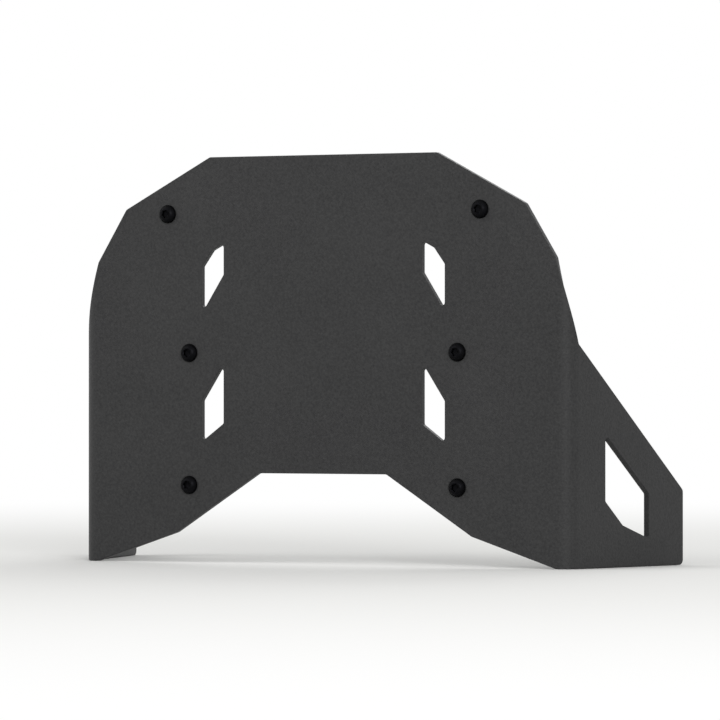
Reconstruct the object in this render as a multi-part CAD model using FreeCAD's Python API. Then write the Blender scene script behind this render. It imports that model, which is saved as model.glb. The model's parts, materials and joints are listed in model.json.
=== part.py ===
import FreeCAD, Part
import math
import os

from FreeCAD import Vector

# Guard for the center stand of a motorbike: one folded sheet with six mounting screws.
# The front face looks along -Y, the side flanges run back and a little outwards, and +Z is up.
# Sizes are in millimetres and degrees. Half widths count from the middle plane, heights from
# the bottom edges, and places along a flange from the end of its bend.

# Sheet
sheet = 4.0
inner_bend_radius = 7.0
bend_angle = 75.0

# Main sizes of the folded plate
front_width = 290.0
overall_height = 230.0
flange_length = 90.5

# Front outline: insets count inwards from the bend lines, drops count down from the corner above
top_edge_width = 144.0
shoulder_inset = 18.5
shoulder_drop = 29.0
bend_top_drop = 30.0
arch_width = 81.0
arch_height = 51.0
wing_kink_inset = 51.5
wing_kink_height = 17.0
outline_corner_radius = 3.0

# Flange outline
bend_cut_drop = 47.6
flange_rear_height = 42.0

# Windows in the front face: upright sides, slanted ends
window_inner_half = 63.0
window_width = 14.0
upper_window_peak_drop = 49.0
upper_window_break_run = 7.5
upper_window_break_drop = 4.0
upper_window_outer_drop = 13.0
upper_window_inner_side = 17.7
upper_window_outer_side = 26.5
lower_window_peak_height = 113.4
lower_window_outer_drop = 21.4
lower_window_inner_side = 34.4
lower_window_outer_side = 23.3
window_corner_radius = 1.5

# Window in each flange
flange_window_start = 22.7
flange_window_length = 37.6
flange_window_front_top = 73.5
flange_window_front_side = 36.8
flange_window_rear_drop = 33.3
flange_window_rear_side = 24.7
flange_window_break_run = 15.0
flange_window_break_drop = 13.5

# Button head screws: insets count inwards from the bend lines
neck_diameter = 6.0
neck_past_sheet = 0.5
thread_diameter = 5.9
thread_end_chamfer = 0.8
screw_hole_clearance = 0.3
screw_length = 20.0
head_diameter = 10.5
head_height = 3.3
head_rim = 0.5
head_crown_diameter = 6.2
socket_across_flats = 4.0
socket_depth = 2.1
upper_screw_inset = 46.0
upper_screw_drop = 32.0
lower_screw_inset = 60.0
middle_screw_height = 119.0
bottom_screw_height = 44.0

# Derived places
outer_bend_radius = inner_bend_radius + sheet
bend_line_half = front_width / 2
shoulder_height = overall_height - shoulder_drop
bend_top_height = shoulder_height - bend_top_drop
flange_top_height = bend_top_height - bend_cut_drop
turn = math.radians(bend_angle)
bend_depth = outer_bend_radius * (1 - math.cos(turn))
plate_depth = bend_depth + flange_length * math.sin(turn) + sheet * math.cos(turn)
front_y = -(plate_depth - head_height) / 2
bend_axis = Vector(bend_line_half, front_y + outer_bend_radius, 0)
screw_places = [
    (side * (bend_line_half - inset), height)
    for inset, height in (
        (upper_screw_inset, overall_height - upper_screw_drop),
        (lower_screw_inset, middle_screw_height),
        (lower_screw_inset, bottom_screw_height),
    )
    for side in (-1, 1)
]


def rounded_loop(corners):
    """Close a loop through (point, radius) corners, with an arc at each corner that has a radius.

    An arc takes less than half of the shorter side, so that neighbouring arcs never overlap.
    """
    arc_share = 0.45
    count = len(corners)
    arrivals = []
    for i in range(count):
        before, (point, radius), after = corners[i - 1][0], corners[i], corners[(i + 1) % count][0]
        back, ahead = before - point, after - point
        half_angle = back.getAngle(ahead) / 2
        run = 0.0
        if radius > 0:
            run = min(radius / math.tan(half_angle), arc_share * min(back.Length, ahead.Length))
        back.normalize()
        ahead.normalize()
        bisector = (back + ahead).normalize()
        arc_radius = run * math.tan(half_angle)
        middle = point + bisector * (run / math.cos(half_angle) - arc_radius)
        arrivals.append((point + back * run, middle, point + ahead * run, run))
    edges = []
    for i in range(count):
        start, middle, end, run = arrivals[i]
        if run > 0:
            edges.append(Part.Arc(start, middle, end).toShape())
        edges.append(Part.makeLine(end, arrivals[(i + 1) % count][0]))
    return Part.Face(Part.Wire(edges))


def front_face(points, radius):
    """Face in the front plane from (half, height) points, all with one corner radius."""
    return rounded_loop([(Vector(x, front_y, z), radius) for x, z in points])


def flange_prism(points, inner, outer):
    """Prism from (place, height, radius) corners, between two offsets from the right flange's outer face."""
    start = bend_axis + Vector(outer_bend_radius + inner, 0, 0)
    corners = [(start + Vector(0, along, z), radius) for along, z, radius in points]
    prism = rounded_loop(corners).extrude(Vector(outer - inner, 0, 0))
    prism.rotate(bend_axis, Vector(0, 0, 1), bend_angle - 90)
    return prism


def mirrored(shape):
    """The same shape on the other side of the middle plane."""
    return shape.mirror(Vector(0, 0, 0), Vector(1, 0, 0))


def front_panel():
    """Flat front between the two bend lines, with the shoulders and the arch at the bottom."""
    round_off = outline_corner_radius
    right = [
        (arch_width / 2, arch_height, round_off),
        (bend_line_half - wing_kink_inset, wing_kink_height, round_off),
        (bend_line_half, 0, 0),
        (bend_line_half, bend_top_height, 0),
        (bend_line_half - shoulder_inset, shoulder_height, round_off),
        (top_edge_width / 2, overall_height, round_off),
    ]
    left = [(-x, z, radius) for x, z, radius in reversed(right)]
    corners = [(Vector(x, front_y, z), radius) for x, z, radius in right + left]
    return rounded_loop(corners).extrude(Vector(0, sheet, 0))


def right_bend():
    """Bend whose top follows the straight cut of the flat blank, so it winds as a helix."""
    rails = []
    for radius in (inner_bend_radius, outer_bend_radius):
        rails.append(Part.makeHelix(bend_cut_drop * 360 / bend_angle, bend_cut_drop, radius).Edges[0])
    ramp = Part.makeRuledSurface(rails[0], rails[1])
    ramp.rotate(Vector(0, 0, 0), Vector(0, 0, 1), 90 - bend_angle)
    ramp.translate(Vector(0, 0, flange_top_height))
    bend = ramp.extrude(Vector(0, 0, -2 * overall_height))
    reach = 2 * outer_bend_radius
    below = Part.makeBox(2 * reach, 2 * reach, 2 * overall_height)
    below.translate(Vector(-reach, -reach, -2 * overall_height))
    bend = bend.cut(below)
    bend = bend.mirror(Vector(0, 0, 0), Vector(0, 1, 0))
    bend.translate(bend_axis)
    return bend


def right_flange():
    """Flat flange behind the bend: a diagonal from the bend down to the short rear edge."""
    round_off = outline_corner_radius
    corners = [
        (0, 0, 0),
        (flange_length, 0, round_off),
        (flange_length, flange_rear_height, round_off),
        (0, flange_top_height, 0),
    ]
    return flange_prism(corners, -sheet, 0)


def window_cutters():
    """Prisms through the sheet for the four front windows and the two flange windows."""
    inner, outer = window_inner_half, window_inner_half + window_width
    peak = overall_height - upper_window_peak_drop
    outer_top = peak - upper_window_outer_drop
    upper = [
        (inner, peak),
        (inner + upper_window_break_run, peak - upper_window_break_drop),
        (outer, outer_top),
        (outer, outer_top - upper_window_outer_side),
        (inner, peak - upper_window_inner_side),
    ]
    peak = lower_window_peak_height
    outer_top = peak - lower_window_outer_drop
    lower = [
        (inner, peak),
        (outer, outer_top),
        (outer, outer_top - lower_window_outer_side),
        (inner, peak - lower_window_inner_side),
    ]
    front, rear = flange_window_start, flange_window_start + flange_window_length
    front_bottom = flange_window_front_top - flange_window_front_side
    rear_top = flange_window_front_top - flange_window_rear_drop
    flange = [
        (front, flange_window_front_top),
        (rear, rear_top),
        (rear, rear_top - flange_window_rear_side),
        (front + flange_window_break_run, front_bottom - flange_window_break_drop),
        (front, front_bottom),
    ]
    prisms = []
    for points in (upper, lower):
        prism = front_face(points, window_corner_radius).extrude(Vector(0, 3 * sheet, 0))
        prism.translate(Vector(0, -sheet, 0))
        prisms.append(prism)
    corners = [(along, height, window_corner_radius) for along, height in flange]
    prisms.append(flange_prism(corners, -2 * sheet, sheet))
    return prisms + [mirrored(prism) for prism in prisms]


def screw_hole(x, z):
    """Clearance hole through the front panel for one screw."""
    radius = neck_diameter / 2 + screw_hole_clearance
    return Part.makeCylinder(radius, 3 * sheet, Vector(x, front_y - sheet, z), Vector(0, 1, 0))


def guard_plate():
    """The folded sheet: front panel, two bends and two flanges, then windows and holes."""
    bend, flange = right_bend(), right_flange()
    plate = front_panel().multiFuse([bend, flange, mirrored(bend), mirrored(flange)])
    plate = plate.removeSplitter()
    plate = plate.cut(window_cutters())
    plate = plate.cut([screw_hole(x, z) for x, z in screw_places])
    return plate.Solids[0]


def button_head_screw(x, z):
    """Screw seated on the front face: domed head, hexagon socket, plain neck and threaded end."""
    head_r, crown_r = head_diameter / 2, head_crown_diameter / 2
    neck_r, thread_r = neck_diameter / 2, thread_diameter / 2
    sphere_z = (head_r**2 + head_rim**2 - crown_r**2 - head_height**2) / (2 * (head_rim - head_height))
    sphere_r = math.hypot(head_r, head_rim - sphere_z)
    half_way = (head_rim + head_height) / 2
    rim, crown = Vector(head_r, 0, head_rim), Vector(crown_r, 0, head_height)
    belly = Vector(math.sqrt(sphere_r**2 - (half_way - sphere_z) ** 2), 0, half_way)
    dome = Part.Arc(rim, belly, crown)
    thread_start, tip = -(sheet + neck_past_sheet), -screw_length
    outline = [
        Vector(0, 0, head_height),
        Vector(0, 0, tip),
        Vector(thread_r - thread_end_chamfer, 0, tip),
        Vector(thread_r, 0, tip + thread_end_chamfer),
        Vector(thread_r, 0, thread_start),
        Vector(neck_r, 0, thread_start),
        Vector(neck_r, 0, 0),
        Vector(head_r, 0, 0),
        rim,
    ]
    profile = [Part.makeLine(a, b) for a, b in zip(outline, outline[1:])]
    profile += [dome.toShape(), Part.makeLine(crown, outline[0])]
    screw = Part.Face(Part.Wire(profile)).revolve(Vector(0, 0, 0), Vector(0, 0, 1), 360)
    corner_r = socket_across_flats / math.sqrt(3)
    floor = head_height - socket_depth
    hexagon = [
        Vector(corner_r * math.cos(math.radians(a)), corner_r * math.sin(math.radians(a)), floor)
        for a in range(0, 361, 60)
    ]
    socket = Part.Face(Part.makePolygon(hexagon)).extrude(Vector(0, 0, 2 * socket_depth))
    screw = screw.cut(socket).Solids[0]
    screw.rotate(Vector(0, 0, 0), Vector(1, 0, 0), 90)
    screw.translate(Vector(x, front_y, z))
    return screw


nodes = {
    "guard_plate": guard_plate(),
    "mounting_screws": Part.makeCompound([button_head_screw(x, z) for x, z in screw_places]),
}

os.makedirs("parts", exist_ok=True)
for name, shape in nodes.items():
    shape.exportStep(f"parts/{name}.step")
    box = shape.optimalBoundingBox()
    print(name, len(shape.Solids), "solids, volume", round(shape.Volume), "mm3, valid", shape.isValid())
    print("   from", round(box.XMin, 2), round(box.YMin, 2), round(box.ZMin, 2),
          "to", round(box.XMax, 2), round(box.YMax, 2), round(box.ZMax, 2))
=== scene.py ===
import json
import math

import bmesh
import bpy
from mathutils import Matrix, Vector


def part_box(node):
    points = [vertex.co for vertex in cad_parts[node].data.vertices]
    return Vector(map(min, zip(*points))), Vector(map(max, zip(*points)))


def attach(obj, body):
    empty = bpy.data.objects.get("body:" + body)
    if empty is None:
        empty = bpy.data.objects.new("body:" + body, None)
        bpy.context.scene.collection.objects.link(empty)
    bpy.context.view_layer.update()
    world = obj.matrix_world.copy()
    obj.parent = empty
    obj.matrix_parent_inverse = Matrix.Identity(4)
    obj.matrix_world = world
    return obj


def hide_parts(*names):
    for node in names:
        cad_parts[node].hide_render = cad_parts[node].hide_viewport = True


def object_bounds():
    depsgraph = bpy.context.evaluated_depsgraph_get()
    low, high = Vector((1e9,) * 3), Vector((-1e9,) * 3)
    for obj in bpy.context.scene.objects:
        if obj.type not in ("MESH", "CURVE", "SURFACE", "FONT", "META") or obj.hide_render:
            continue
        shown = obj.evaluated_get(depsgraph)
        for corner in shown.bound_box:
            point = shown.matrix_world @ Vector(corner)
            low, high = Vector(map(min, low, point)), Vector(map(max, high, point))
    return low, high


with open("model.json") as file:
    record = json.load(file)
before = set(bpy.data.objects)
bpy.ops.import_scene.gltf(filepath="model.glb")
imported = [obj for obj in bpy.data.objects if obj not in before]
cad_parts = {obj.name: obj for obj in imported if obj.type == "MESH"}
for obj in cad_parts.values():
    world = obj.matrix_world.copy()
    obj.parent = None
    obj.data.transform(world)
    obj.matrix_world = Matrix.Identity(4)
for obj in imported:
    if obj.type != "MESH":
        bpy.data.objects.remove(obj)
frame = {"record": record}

# %% [markdown]
# A folded guard plate with six screws.
# The loaded frame holds the part as plain CAD solids: one folded sheet and six screws. The solids
# have the true sizes, but every cut edge is a razor edge and the screws have no thread. This lesson
# builds both pieces again the way a workshop makes them, dresses them and lights them.
# The CAD box is kept from the start, because the finished pieces have to stay inside it.

MM = 0.001
SIDES = (-1, 1)
scene = bpy.context.scene
cad_box = [list(corner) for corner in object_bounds()]
plate_low, plate_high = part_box("guard_plate")
print("CAD box in mm", [[round(value / MM, 2) for value in corner] for corner in cad_box])

# %% [markdown]
# The viewing angle.
# The guard is seen from its front right, a little less than 30 degrees off the straight view and about
# level with the middle of the plate. A camera close by would make the near flange look larger than the
# far one, so this one stands about three metres away. The long lens only crops the picture until the
# guard fills it, and it leaves the perspective alone. Distances of the stage are in metres.

# %% Camera
VIEW_TURN = math.radians(27.5)
VIEW_DISTANCE = 2.98
VIEW_HEIGHT = 0.104
LENS_MM = 262.0

aim = Vector((0.0, 0.0, (cad_box[0][2] + cad_box[1][2]) / 2))
camera = bpy.data.objects.new("camera", bpy.data.cameras.new("camera"))
camera.data.lens = LENS_MM
camera.location = (
    VIEW_DISTANCE * math.sin(VIEW_TURN),
    -VIEW_DISTANCE * math.cos(VIEW_TURN),
    VIEW_HEIGHT,
)
camera.rotation_euler = (aim - camera.location).to_track_quat("-Z", "Y").to_euler()
scene.collection.objects.link(camera)
scene.camera = camera
print("camera stands at", [round(value, 3) for value in camera.location])

# %% [markdown]
# The flat blank.
# The real guard starts as a flat sheet of aluminium, 4 mm thick. A laser cuts the outline, the windows
# and the screw holes while it is still flat. One could copy the CAD mesh and bevel its edges, but a
# bevel has trouble where the slanted cut runs over the fold. A flat 2D curve has no such place: Blender
# fills it, makes it thick and rounds every cut edge in one go, as the coating rounds them on the real
# sheet. Sizes are in mm. In the blank, u runs across the unfolded sheet and z is the height.

# %% Sizes of the sheet
SHEET = 4.0
INNER_BEND_RADIUS = 7.0
BEND_ANGLE = math.radians(75)
FRONT_WIDTH = 290.0
FLANGE_LENGTH = 90.5

top = plate_high.z / MM
front_y = plate_low.y / MM
outer_bend_radius = INNER_BEND_RADIUS + SHEET
bend_line = FRONT_WIDTH / 2
bend_length = BEND_ANGLE * (INNER_BEND_RADIUS + SHEET / 2)
flange_line = bend_line + bend_length
blank_end = flange_line + FLANGE_LENGTH
print("half blank is", round(blank_end, 1), "mm, of which the bend takes", round(bend_length, 2))

# %% Round the corners of a loop
ARC_STEP = math.radians(10)
FEWEST_ARC_STEPS = 3
SHARP = 0


def rounded_loop(corners):
    """Points of a closed loop through (u, z, radius) corners, with a short arc unless radius is SHARP."""
    points = []
    for i, (u, z, radius) in enumerate(corners):
        corner = Vector((u, z))
        if radius == SHARP:
            points.append(corner)
            continue
        back = Vector(corners[i - 1][:2]) - corner
        ahead = Vector(corners[(i + 1) % len(corners)][:2]) - corner
        half_angle = back.angle(ahead) / 2
        back.normalize()
        ahead.normalize()
        run = radius / math.tan(half_angle)
        centre = corner + (back + ahead).normalized() * radius / math.sin(half_angle)
        start = corner + back * run - centre
        end = corner + ahead * run - centre
        sweep = start.angle_signed(end)
        steps = max(FEWEST_ARC_STEPS, math.ceil(abs(sweep) / ARC_STEP))
        for step in range(steps + 1):
            turn = Matrix.Rotation(-sweep * step / steps, 2)
            points.append(centre + turn @ start)
    return points


print("a square corner is drawn in", math.ceil(math.pi / 2 / ARC_STEP), "steps")

# %% Outline of the blank
CORNER_RADIUS = 3.0
ARCH_WIDTH = 81.0
ARCH_HEIGHT = 51.0
KINK_INSET = 51.5
KINK_HEIGHT = 17.0
FLANGE_REAR_HEIGHT = 42.0
FLANGE_TOP_HEIGHT = 123.4
BEND_TOP_HEIGHT = 171.0
SHOULDER_INSET = 18.5
SHOULDER_DROP = 29.0
TOP_EDGE_WIDTH = 144.0

right_half = [
    (ARCH_WIDTH / 2, ARCH_HEIGHT, CORNER_RADIUS),
    (bend_line - KINK_INSET, KINK_HEIGHT, CORNER_RADIUS),
    (bend_line, 0.0, SHARP),
    (blank_end, 0.0, CORNER_RADIUS),
    (blank_end, FLANGE_REAR_HEIGHT, CORNER_RADIUS),
    (flange_line, FLANGE_TOP_HEIGHT, SHARP),
    (bend_line, BEND_TOP_HEIGHT, SHARP),
    (bend_line - SHOULDER_INSET, top - SHOULDER_DROP, CORNER_RADIUS),
    (TOP_EDGE_WIDTH / 2, top, CORNER_RADIUS),
]
left_half = [(-u, z, radius) for u, z, radius in reversed(right_half)]
outline = rounded_loop(right_half + left_half)
print("outline has", len(outline), "points")

# %% Windows of the front panel
WINDOW_INNER_SIDE = 63.0
WINDOW_OUTER_SIDE = 77.0
UPPER_INNER_TOP = 181.0
UPPER_BREAK_RUN = 7.5
UPPER_BREAK_HEIGHT = 177.0
UPPER_OUTER_TOP = 168.0
UPPER_OUTER_BOTTOM = 141.5
UPPER_INNER_BOTTOM = 163.3
LOWER_INNER_TOP = 113.4
LOWER_OUTER_TOP = 92.0
LOWER_OUTER_BOTTOM = 68.7
LOWER_INNER_BOTTOM = 79.0

upper_window = [
    (WINDOW_INNER_SIDE, UPPER_INNER_TOP),
    (WINDOW_INNER_SIDE + UPPER_BREAK_RUN, UPPER_BREAK_HEIGHT),
    (WINDOW_OUTER_SIDE, UPPER_OUTER_TOP),
    (WINDOW_OUTER_SIDE, UPPER_OUTER_BOTTOM),
    (WINDOW_INNER_SIDE, UPPER_INNER_BOTTOM),
]
lower_window = [
    (WINDOW_INNER_SIDE, LOWER_INNER_TOP),
    (WINDOW_OUTER_SIDE, LOWER_OUTER_TOP),
    (WINDOW_OUTER_SIDE, LOWER_OUTER_BOTTOM),
    (WINDOW_INNER_SIDE, LOWER_INNER_BOTTOM),
]
print("front windows are", WINDOW_OUTER_SIDE - WINDOW_INNER_SIDE, "mm wide")

# %% Window of the flange
FLANGE_WINDOW_START = 22.7
FLANGE_WINDOW_LENGTH = 37.6
FLANGE_FRONT_TOP = 73.5
FLANGE_REAR_TOP = 40.2
FLANGE_REAR_BOTTOM = 15.5
FLANGE_BREAK_RUN = 15.0
FLANGE_BREAK_HEIGHT = 23.2
FLANGE_FRONT_BOTTOM = 36.7

window_front = flange_line + FLANGE_WINDOW_START
window_rear = window_front + FLANGE_WINDOW_LENGTH
flange_window = [
    (window_front, FLANGE_FRONT_TOP),
    (window_rear, FLANGE_REAR_TOP),
    (window_rear, FLANGE_REAR_BOTTOM),
    (window_front + FLANGE_BREAK_RUN, FLANGE_BREAK_HEIGHT),
    (window_front, FLANGE_FRONT_BOTTOM),
]
print("flange window ends", round(blank_end - window_rear, 1), "mm before the flange does")

# %% Places of the screws
mounts = {mount["name"]: mount for mount in frame["record"]["mounts"]}
upper_pair = mounts["upper_screws"]
lower_four = mounts["lower_screws"]
upper_reach = upper_pair["dims"]["pcd_mm"] / 2
lower_reach = lower_four["dims"]["spacing_x_mm"] / 2
half_rise = lower_four["dims"]["spacing_y_mm"] / 2
upper_height = upper_pair["pos_m"][2] / MM
lower_height = lower_four["pos_m"][2] / MM

screw_rows = [
    (upper_reach, upper_height),
    (lower_reach, lower_height + half_rise),
    (lower_reach, lower_height - half_rise),
]
screw_places = [(side * u, z) for u, z in screw_rows for side in SIDES]
print("screws sit at", [(round(u, 1), round(z, 1)) for u, z in screw_places])

# %% All loops of the blank
WINDOW_RADIUS = 1.5
HOLE_RADIUS = 3.3
HOLE_STEP_DEGREES = 10

loops = [outline]
for window in (upper_window, lower_window, flange_window):
    for side in SIDES:
        loops.append(rounded_loop([(side * u, z, WINDOW_RADIUS) for u, z in window]))
hole_angles = [math.radians(angle) for angle in range(0, 360, HOLE_STEP_DEGREES)]
hole = [Vector((math.cos(a), math.sin(a))) * HOLE_RADIUS for a in hole_angles]
for place in screw_places:
    loops.append([Vector(place) + point for point in hole])
print("the blank is cut along", len(loops), "loops")

# %% Cut the blank
EDGE_ROUNDING = 0.5
EDGE_ROUNDING_STEPS = 2

blank = bpy.data.curves.new("flat_blank", "CURVE")
blank.dimensions = "2D"
blank.fill_mode = "BOTH"
for loop in loops:
    spline = blank.splines.new("POLY")
    spline.points.add(len(loop) - 1)
    spline.use_cyclic_u = True
    for point, (u, z) in zip(spline.points, loop):
        point.co = (u * MM, z * MM, 0.0, 1.0)
blank.bevel_depth = EDGE_ROUNDING * MM
blank.bevel_resolution = EDGE_ROUNDING_STEPS
blank.extrude = (SHEET / 2 - EDGE_ROUNDING) * MM
blank.offset = -EDGE_ROUNDING * MM
blank_object = bpy.data.objects.new("flat_blank", blank)
scene.collection.objects.link(blank_object)
bpy.context.view_layer.update()
cut_blank = blank_object.evaluated_get(bpy.context.evaluated_depsgraph_get())
plate_mesh = bpy.data.meshes.new_from_object(cut_blank)
bpy.data.objects.remove(blank_object)
print("flat blank has", len(plate_mesh.polygons), "faces")

# %% [markdown]
# The fold.
# A press brake turns each side back by 75 degrees, so the flanges stand a little outwards. Blender's
# bend modifier would curve the whole sheet evenly, but here only two narrow strips bend and the rest
# stays flat, so a short formula moves every point to where the fold takes it. The middle of the sheet
# keeps its length, so the bend uses up an arc at half thickness. The mesh is first cut into narrow
# strips along each bend, because a face can only fold at an edge. The straight cut over the bend turns
# into a winding edge by itself, as it does on the real sheet.


# %% Where a point goes
def folded(point):
    """Place in the row frame of a point (u, z, w) of the flat blank, with w from back to front."""
    u = abs(point.x) / MM
    z = point.y / MM
    inward = SHEET / 2 - point.z / MM
    flat = min(u, bend_line)
    turn = min(max(u - bend_line, 0.0) / bend_length, 1.0) * BEND_ANGLE
    beyond = max(u - flange_line, 0.0)
    radius = outer_bend_radius - inward
    x = flat + radius * math.sin(turn) + beyond * math.cos(turn)
    y = outer_bend_radius - radius * math.cos(turn) + beyond * math.sin(turn)
    return Vector((math.copysign(x, point.x), front_y + y, z)) * MM


rear_end = folded(Vector((blank_end, 0.0, 0.0)) * MM)
print("the end of the blank folds to", [round(value / MM, 1) for value in rear_end])

# %% Fold the blank
BEND_STRIPS = 14
SAME_POINT = 0.001 * MM

sheet_bm = bmesh.new()
sheet_bm.from_mesh(plate_mesh)
bmesh.ops.remove_doubles(sheet_bm, verts=sheet_bm.verts, dist=SAME_POINT)
for strip in range(BEND_STRIPS + 1):
    for side in SIDES:
        cut_at = side * (bend_line + bend_length * strip / BEND_STRIPS) * MM
        everything = sheet_bm.verts[:] + sheet_bm.edges[:] + sheet_bm.faces[:]
        bmesh.ops.bisect_plane(
            sheet_bm, geom=everything, dist=SAME_POINT, plane_co=(cut_at, 0, 0), plane_no=(1, 0, 0)
        )
# The fill can leave triangles without width, which the cuts would multiply.
bmesh.ops.dissolve_degenerate(sheet_bm, edges=sheet_bm.edges, dist=SAME_POINT)
for vert in sheet_bm.verts:
    vert.co = folded(vert.co)
bmesh.ops.recalc_face_normals(sheet_bm, faces=sheet_bm.faces)
open_edges = sum(1 for edge in sheet_bm.edges if not edge.is_manifold)
sheet_bm.to_mesh(plate_mesh)
sheet_bm.free()
print("folded plate has", len(plate_mesh.polygons), "faces and", open_edges, "open edges")

# %% Put the plate in place of its CAD solid
FLAT_FACE_WEIGHT = 100

plate = bpy.data.objects.new("folded_guard_plate", plate_mesh)
scene.collection.objects.link(plate)
for face in plate_mesh.polygons:
    face.use_smooth = True
flat_first = plate.modifiers.new("flat_faces_stay_flat", "WEIGHTED_NORMAL")
flat_first.mode = "FACE_AREA"
flat_first.weight = FLAT_FACE_WEIGHT
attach(plate, "root")
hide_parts("guard_plate")
print("plate piece:", plate.name)

# %% [markdown]
# The screws.
# The plate is held by M6 button head screws with a hexagon socket. Such a head is pressed cold: a low
# dome, a flat crown, a socket with a small countersink and a cone at its floor. One could spin a profile
# and cut the socket out with a boolean, but that leaves ragged faces round the hexagon. Here the head is
# laid out as rings, from the socket's middle over the dome and down to the neck. Each ring has the same
# number of points, so neighbours join with plain quads, and a hexagon is just another ring.
# Sizes are in mm along the screw, with the seat under the head at zero and the head above it.

# %% Two kinds of ring
RING_POINTS = 48
ring_angles = [2 * math.pi * k / RING_POINTS for k in range(RING_POINTS)]


def circle(radius, z):
    """One round ring of points."""
    return [Vector((radius * math.cos(a), radius * math.sin(a), z)) for a in ring_angles]


def hexagon(across_flats, z):
    """One ring that follows a hexagon, with points on its six corners."""
    ring = []
    for a in ring_angles:
        off_flat = (a % (math.pi / 3)) - math.pi / 6
        reach = across_flats / 2 / math.cos(off_flat)
        ring.append(Vector((reach * math.cos(a), reach * math.sin(a), z)))
    return ring


print("one side of a hexagon takes", RING_POINTS // 6, "points")

# %% Rings of the socket
HEAD_HEIGHT = 3.3
CROWN_RADIUS = 3.1
CROWN_EDGE = 0.12
SOCKET_FLATS = 4.0
SOCKET_DEPTH = 2.1
SOCKET_CONE = 0.5
CONE_TIP_RADIUS = 0.05
COUNTERSINK_DEPTH = 0.32
COUNTERSINK_MARGIN = 0.08
MOUTH_EDGE_WIDTH = 0.06
MOUTH_EDGE_DROP = 0.05

socket_floor = HEAD_HEIGHT - SOCKET_DEPTH
mouth_radius = SOCKET_FLATS / math.sqrt(3) + COUNTERSINK_MARGIN
head_rings = [
    circle(CONE_TIP_RADIUS, socket_floor - SOCKET_CONE),
    hexagon(SOCKET_FLATS, socket_floor),
    hexagon(SOCKET_FLATS, HEAD_HEIGHT - COUNTERSINK_DEPTH),
    circle(mouth_radius, HEAD_HEIGHT - MOUTH_EDGE_DROP),
    circle(mouth_radius + MOUTH_EDGE_WIDTH, HEAD_HEIGHT),
    circle(CROWN_RADIUS - CROWN_EDGE, HEAD_HEIGHT),
]
print("socket and crown take", len(head_rings), "rings")

# %% Rings of the dome
HEAD_RADIUS = 5.25
HEAD_RIM = 0.5
DOME_STEPS = 10

# The dome belongs to a sphere on the screw's axis, through the edge of the crown and the top of the rim.
square_difference = HEAD_RADIUS**2 + HEAD_RIM**2 - CROWN_RADIUS**2 - HEAD_HEIGHT**2
sphere_z = square_difference / (2 * (HEAD_RIM - HEAD_HEIGHT))
sphere_radius = math.hypot(HEAD_RADIUS, HEAD_RIM - sphere_z)
dome_start = math.atan2(HEAD_HEIGHT - sphere_z, CROWN_RADIUS)
dome_end = math.atan2(HEAD_RIM - sphere_z, HEAD_RADIUS)
for step in range(1, DOME_STEPS + 1):
    a = dome_start + (dome_end - dome_start) * step / DOME_STEPS
    head_rings.append(circle(sphere_radius * math.cos(a), sphere_z + sphere_radius * math.sin(a)))
print("dome is part of a sphere of", round(sphere_radius, 2), "mm radius")

# %% Rings of the rim and neck
RIM_ROUNDING = 0.18
NECK_RADIUS = 3.0
NECK_FILLET = 0.2
NECK_PAST_SHEET = 0.5

neck_end = -(SHEET + NECK_PAST_SHEET)
head_rings += [
    circle(HEAD_RADIUS, RIM_ROUNDING),
    circle(HEAD_RADIUS - RIM_ROUNDING, 0.0),
    circle(NECK_RADIUS + NECK_FILLET, 0.0),
    circle(NECK_RADIUS, -NECK_FILLET),
    circle(NECK_RADIUS, neck_end),
]
print("the head takes", len(head_rings), "rings of", RING_POINTS, "points")

# %% [markdown]
# The thread.
# A thread is a groove that winds around the shank, one millimetre per turn on M6. Its two flanks lean
# by 30 degrees each, which gives the depth. Blender's screw modifier can wind a profile, but its two
# ends stay open. Here each column of points around the shank walks down the same root, flank, crest and
# flank, and the columns start a little earlier from one to the next. At both ends the points are held
# inside the shank, so the thread runs out at the neck and is trimmed by the chamfer at the tip, and the
# screw stays one closed mesh.

# %% Columns of the thread
PITCH = 1.0
FLANK_SHARE = 5 / 16
FLANK_ANGLE = math.radians(30)
CREST_SHARE = 1 / 8
RUN_OUT_SLOPE = 1.2
TIP_RADIUS = 2.15
SCREW_LENGTH = 20.0
SPARE_TURNS = 2

thread_radius = lower_four["dims"]["stud_r_mm"]
root_radius = thread_radius - FLANK_SHARE * PITCH / math.tan(FLANK_ANGLE)
thread_length = SCREW_LENGTH + neck_end
turns = math.ceil(thread_length / PITCH) + SPARE_TURNS
profile = [
    (0.0, root_radius),
    (FLANK_SHARE, thread_radius),
    (FLANK_SHARE + CREST_SHARE, thread_radius),
    (2 * FLANK_SHARE + CREST_SHARE, root_radius),
]


def thread_column(k):
    """Points from the neck to the tip at ring angle k, each as (radius, distance from the neck)."""
    column = []
    for turn in range(turns):
        for share, radius in profile:
            along = PITCH * (turn + share - k / RING_POINTS)
            along = min(max(along, 0.0), thread_length)
            run_out = thread_radius - RUN_OUT_SLOPE * along
            chamfer = TIP_RADIUS + thread_length - along
            column.append((min(max(radius, run_out), chamfer), along))
    return column


columns = [thread_column(k) for k in range(RING_POINTS + 1)]
print("the thread has", thread_length / PITCH, "turns and", len(columns[0]), "points a column")

# %% Faces of the head
screw_bm = bmesh.new()
ring_verts = [[screw_bm.verts.new(point) for point in ring] for ring in head_rings]
for upper, lower in zip(ring_verts, ring_verts[1:]):
    for k in range(RING_POINTS):
        after = (k + 1) % RING_POINTS
        screw_bm.faces.new((upper[k], lower[k], lower[after], upper[after]))
screw_bm.faces.new(ring_verts[0])
print("the head has", len(screw_bm.faces), "faces")

# %% Faces of the thread
SAME_SCREW_POINT = 0.0005

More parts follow.
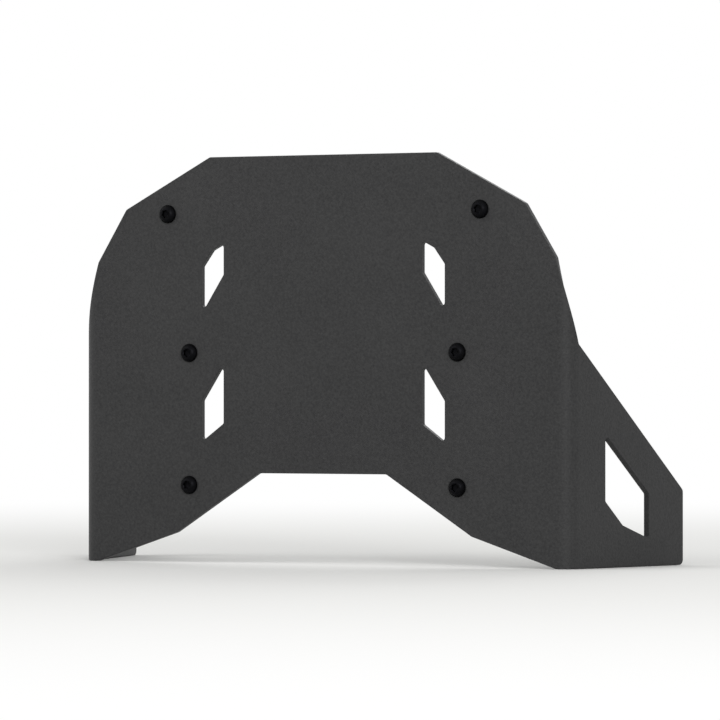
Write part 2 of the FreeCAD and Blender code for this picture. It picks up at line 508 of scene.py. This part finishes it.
thread_verts = []
for k, column in enumerate(columns):
    a = 2 * math.pi * k / RING_POINTS
    thread_verts.append(
        [screw_bm.verts.new((r * math.cos(a), r * math.sin(a), neck_end - s)) for r, s in column]
    )
for here, after in zip(thread_verts, thread_verts[1:]):
    for i in range(len(here) - 1):
        screw_bm.faces.new((here[i], here[i + 1], after[i + 1], after[i]))
screw_bm.faces.new([column[-1] for column in thread_verts[:RING_POINTS]])
neck_ring = ring_verts[-1]
for k in range(RING_POINTS):
    after = (k + 1) % RING_POINTS
    screw_bm.faces.new((neck_ring[k], thread_verts[k][0], thread_verts[k + 1][0], neck_ring[after]))
bmesh.ops.remove_doubles(screw_bm, verts=screw_bm.verts, dist=SAME_SCREW_POINT)
bmesh.ops.dissolve_degenerate(screw_bm, edges=screw_bm.edges, dist=SAME_SCREW_POINT)
bmesh.ops.recalc_face_normals(screw_bm, faces=screw_bm.faces)
open_edges = sum(1 for edge in screw_bm.edges if not edge.is_manifold)
print("one screw has", len(screw_bm.faces), "faces and", open_edges, "open edges")

# %% [markdown]
# Six of them.
# Nobody tightens six screws to the same angle, so each copy is turned a little differently before it is
# laid into its hole. The turns are written out, so that every run gives the same picture.

# %% Place the screws
SOCKET_TURNS = (12, 41, 27, 3, 50, 20)
CREASE_ANGLE = math.radians(38)

one_screw = bpy.data.meshes.new("one_screw")
screw_bm.to_mesh(one_screw)
screw_bm.free()
screws_bm = bmesh.new()
for (x, z), socket_turn in zip(screw_places, SOCKET_TURNS):
    laid = Matrix.Translation(Vector((x, front_y, z)) * MM)
    laid = laid @ Matrix.Rotation(math.pi / 2, 4, "X") @ Matrix.Rotation(math.radians(socket_turn), 4, "Z")
    laid = laid @ Matrix.Scale(MM, 4)
    before = len(screws_bm.verts)
    screws_bm.from_mesh(one_screw)
    screws_bm.verts.ensure_lookup_table()
    for vert in screws_bm.verts[before:]:
        vert.co = laid @ vert.co
screws_mesh = bpy.data.meshes.new("button_head_screws")
screws_bm.to_mesh(screws_mesh)
screws_bm.free()
bpy.data.meshes.remove(one_screw)
for face in screws_mesh.polygons:
    face.use_smooth = True
screws_mesh.set_sharp_from_angle(angle=CREASE_ANGLE)
screws = bpy.data.objects.new("button_head_screws", screws_mesh)
scene.collection.objects.link(screws)
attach(screws, "root")
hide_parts("mounting_screws")
print("six screws have", len(screws_mesh.polygons), "faces")

# %% [markdown]
# Colours and nodes.
# Colours are written as they look on a screen, as sRGB hex, and turned to linear light by one function.
# One more small function adds a node, sets it and links it.


# %% Helpers for materials
def linear(hex_colour):
    """Linear RGBA for the shader from an sRGB hex colour."""
    channels = [int(hex_colour[i : i + 2], 16) / 255 for i in (1, 3, 5)]
    return [c / 12.92 if c <= 0.04045 else ((c + 0.055) / 1.055) ** 2.4 for c in channels] + [1.0]


def add_node(tree, kind, inputs=(), **settings):
    """Add one node, apply its settings, and fill its inputs with values or with links."""
    node = tree.nodes.new(kind)
    for name, value in settings.items():
        setattr(node, name, value)
    for name, value in dict(inputs).items():
        if isinstance(value, bpy.types.NodeSocket):
            tree.links.new(value, node.inputs[name])
        else:
            node.inputs[name].default_value = value
    return node


# A noise texture seldom leaves this range, so it is stretched from here.
NOISE_LOW = 0.3
NOISE_HIGH = 0.7
NOISE_DETAIL = 3.0
print("mid grey #808080 is", round(linear("#808080")[0], 3), "in linear light")

# %% [markdown]
# Powder coat on aluminium.
# The sheet is sprayed with a fine texture powder and baked. The melt pulls together into a skin of tiny
# soft bumps, so the grey looks dull and even, with a faint grain where light grazes it. Separate
# textures for colour, gloss and bumps would look like dirt on top, so one grain drives all three. Real
# bumps are about 0.3 mm across. One picture point covers more than that, so the grain is drawn 1.4 mm
# wide. The colour is paler on the bumps, where the skin is thin, and darker in the hollows between them
# as painted shade of the tiny bumps, with painted light on their tops. Larger patches of the sheet are
# paler or darker at random.

# %% Grain and clouds of the powder coat
GRAIN_MM = 1.4
GRAIN_BREAKUP = 0.65
CLOUD_MM = 55.0
CLOUD_BREAKUP = 0.5
GRAIN_SHARE = 0.8

powder = bpy.data.materials.new("powder_coated_aluminium_fine_texture")
powder.use_nodes = True
tree = powder.node_tree
tree.nodes.clear()
place = add_node(tree, "ShaderNodeTexCoord").outputs["Object"]
grain = add_node(
    tree,
    "ShaderNodeTexNoise",
    {"Vector": place, "Scale": 1 / (GRAIN_MM * MM), "Detail": NOISE_DETAIL, "Roughness": GRAIN_BREAKUP},
)
clouds = add_node(
    tree,
    "ShaderNodeTexNoise",
    {"Vector": place, "Scale": 1 / (CLOUD_MM * MM), "Detail": NOISE_DETAIL, "Roughness": CLOUD_BREAKUP},
)
# Mostly the grain, which sets painted shade in its hollows and painted light on its bumps, with a little
# of the random clouds.
mottle_and_grain_shade = add_node(
    tree,
    "ShaderNodeMix",
    {"Factor": GRAIN_SHARE, "A": clouds.outputs["Fac"], "B": grain.outputs["Fac"]},
)
print("grain repeats about", round(1 / GRAIN_MM, 2), "times a millimetre")

# %% Powder coat
# Dark shows in the hollows of the grain as painted shade and in random darker patches; pale shows on the
# thin-skinned bumps as painted light and in random paler patches.
COAT_DARK_AND_HOLLOW_SHADE = "#161618"
COAT_PALE_AND_BUMP_LIGHT = "#464646"
COAT_SMOOTHEST = 0.42
COAT_ROUGHEST = 0.52
COAT_IOR = 1.5
COAT_GLOSS = 0.15
GRAIN_HEIGHT_MM = 0.15

# The coat colour: painted shade in the hollows of the grain, painted light on its bumps, random patches
# from the clouds.
coat_colour_and_painted_shade = add_node(
    tree,
    "ShaderNodeMix",
    {"Factor": mottle_and_grain_shade.outputs["Result"], "A": linear(COAT_DARK_AND_HOLLOW_SHADE), "B": linear(COAT_PALE_AND_BUMP_LIGHT)},
    data_type="RGBA",
)
dullness = add_node(
    tree,
    "ShaderNodeMapRange",
    {
        "Value": grain.outputs["Fac"],
        "From Min": NOISE_LOW,
        "From Max": NOISE_HIGH,
        "To Min": COAT_SMOOTHEST,
        "To Max": COAT_ROUGHEST,
    },
)
bumps = add_node(
    tree,
    "ShaderNodeBump",
    {"Height": grain.outputs["Fac"], "Strength": 1.0, "Distance": GRAIN_HEIGHT_MM * MM},
)
coat = add_node(
    tree,
    "ShaderNodeBsdfPrincipled",
    {
        "Base Color": coat_colour_and_painted_shade.outputs["Result"],
        "Roughness": dullness.outputs["Result"],
        "Normal": bumps.outputs["Normal"],
        "IOR": COAT_IOR,
        "Specular IOR Level": COAT_GLOSS,
    },
)
add_node(tree, "ShaderNodeOutputMaterial", {"Surface": coat.outputs["BSDF"]})
plate_mesh.materials.append(powder)
print("plate finish:", powder.name)

# %% [markdown]
# Black oxide on steel.
# The screws are hardened steel with a hot black oxide. Black paint would hide the metal and look like
# plastic. The oxide is thin and a little oily instead, so the forged metal under it still gives a soft
# sheen while the colour is nearly black, and the shader stays a metal. Small blotches show where the
# bath took slightly differently.

# %% Black oxide
BLOTCH_MM = 1.6
BLOTCH_BREAKUP = 0.6
OXIDE_DARK = "#0e0e10"
OXIDE_PALE = "#18181a"
OXIDE_SMOOTHEST = 0.36
OXIDE_ROUGHEST = 0.5

oxide = bpy.data.materials.new("black_oxide_forged_steel")
oxide.use_nodes = True
tree = oxide.node_tree
tree.nodes.clear()
place = add_node(tree, "ShaderNodeTexCoord").outputs["Object"]
blotches = add_node(
    tree,
    "ShaderNodeTexNoise",
    {"Vector": place, "Scale": 1 / (BLOTCH_MM * MM), "Detail": NOISE_DETAIL, "Roughness": BLOTCH_BREAKUP},
)
tone = add_node(
    tree,
    "ShaderNodeMix",
    {"Factor": blotches.outputs["Fac"], "A": linear(OXIDE_DARK), "B": linear(OXIDE_PALE)},
    data_type="RGBA",
)
sheen = add_node(
    tree,
    "ShaderNodeMapRange",
    {
        "Value": blotches.outputs["Fac"],
        "From Min": NOISE_LOW,
        "From Max": NOISE_HIGH,
        "To Min": OXIDE_SMOOTHEST,
        "To Max": OXIDE_ROUGHEST,
    },
)
steel = add_node(
    tree,
    "ShaderNodeBsdfPrincipled",
    {"Base Color": tone.outputs["Result"], "Roughness": sheen.outputs["Result"], "Metallic": 1.0},
)
add_node(tree, "ShaderNodeOutputMaterial", {"Surface": steel.outputs["BSDF"]})
screws_mesh.materials.append(oxide)
print("screw finish:", oxide.name)

# %% [markdown]
# Floor and backdrop.
# The guard stands on a pale floor in front of white. Stronger lamps could turn both white, but they
# would wash out the grey of the part. So the floor is a dull white that takes the shadow, and further
# out the camera sees a plain white of strength 1 instead, which meets the backdrop without a line.
# The Standard view transform shows that strength as pure white. Reflections see the same white as the
# camera. The rays that only carry soft light see the plain paint and a dimmer room.

# %% Floor
FLOOR_RADIUS = 12.0
FLOOR_POINTS = 96
FLOOR_DROP_MM = 0.2

scene.view_settings.view_transform = "Standard"
floor_bm = bmesh.new()
bmesh.ops.create_circle(floor_bm, cap_ends=True, segments=FLOOR_POINTS, radius=FLOOR_RADIUS)
floor_mesh = bpy.data.meshes.new("studio_floor")
floor_bm.to_mesh(floor_mesh)
floor_bm.free()
floor = bpy.data.objects.new("studio_floor", floor_mesh)
floor.location.z = -FLOOR_DROP_MM * MM
scene.collection.objects.link(floor)
print("floor is", 2 * FLOOR_RADIUS, "metres across")


# %% Rays that see the backdrop
SEEING_RAYS = ("Is Camera Ray", "Is Glossy Ray", "Is Transmission Ray")


def seen_white(tree):
    """A socket that is 1 for the rays that see plain white and 0 for the rays that only light."""
    rays = add_node(tree, "ShaderNodeLightPath").outputs
    seen = rays[SEEING_RAYS[0]]
    for name in SEEING_RAYS[1:]:
        seen = add_node(tree, "ShaderNodeMath", {0: seen, 1: rays[name]}, operation="MAXIMUM").outputs[0]
    return seen


print("rays that see plain white:", ", ".join(SEEING_RAYS))

# %% Floor paint
FLOOR_COLOUR = "#f5f5f3"
WHITE = "#ffffff"
WHITE_OUT_START = 0.25
WHITE_OUT_END = 1.6

matte = bpy.data.materials.new("matte_white_floor_paint")
matte.use_nodes = True
tree = matte.node_tree
tree.nodes.clear()
spot = add_node(tree, "ShaderNodeTexCoord").outputs["Object"]
away = add_node(tree, "ShaderNodeVectorMath", {0: spot}, operation="LENGTH")
far = add_node(
    tree,
    "ShaderNodeMapRange",
    {"Value": away.outputs["Value"], "From Min": WHITE_OUT_START, "From Max": WHITE_OUT_END},
    interpolation_type="SMOOTHSTEP",
)
white_out = add_node(
    tree, "ShaderNodeMath", {0: seen_white(tree), 1: far.outputs["Result"]}, operation="MULTIPLY"
)
paint = add_node(tree, "ShaderNodeBsdfDiffuse", {"Color": linear(FLOOR_COLOUR)})
glow = add_node(tree, "ShaderNodeEmission", {"Color": linear(WHITE), "Strength": 1.0})
surface = add_node(
    tree,
    "ShaderNodeMixShader",
    {0: white_out.outputs[0], 1: paint.outputs["BSDF"], 2: glow.outputs["Emission"]},
)
add_node(tree, "ShaderNodeOutputMaterial", {"Surface": surface.outputs["Shader"]})
floor_mesh.materials.append(matte)
print("floor finish:", matte.name)

# %% [markdown]
# Light.
# The world lights softly from all around. One lamp alone would leave the far side and the back dull, so
# there are three. The strongest stands to the front right, so the bend towards it is the lightest
# stripe. A wider and weaker one fills in from the front left, and a third lights the back.

# %% World light
WORLD_STRENGTH = 0.62

world = bpy.data.worlds.new("soft_white_room")
world.use_nodes = True
scene.world = world
tree = world.node_tree
tree.nodes.clear()
level = add_node(
    tree, "ShaderNodeMapRange", {"Value": seen_white(tree), "To Min": WORLD_STRENGTH, "To Max": 1.0}
)
room = add_node(
    tree, "ShaderNodeBackground", {"Color": linear(WHITE), "Strength": level.outputs["Result"]}
)
add_node(tree, "ShaderNodeOutputWorld", {"Surface": room.outputs["Background"]})
print("world:", world.name)

# %% Lamps
lamps = {
    "front_right_softbox": {"place": (1.83, -2.34, 1.0), "size": 1.0, "watts": 34.0},
    "front_left_softbox": {"place": (-1.9, -2.1, 1.9), "size": 1.6, "watts": 18.0},
    "rear_softbox": {"place": (-0.6, 2.7, 1.9), "size": 1.8, "watts": 20.0},
}
for name, softbox in lamps.items():
    light = bpy.data.lights.new(name, "AREA")
    light.size = softbox["size"]
    light.energy = softbox["watts"]
    lamp = bpy.data.objects.new(name, light)
    lamp.location = softbox["place"]
    lamp.rotation_euler = (aim - lamp.location).to_track_quat("-Z", "Y").to_euler()
    scene.collection.objects.link(lamp)
print("lamps:", ", ".join(lamps))
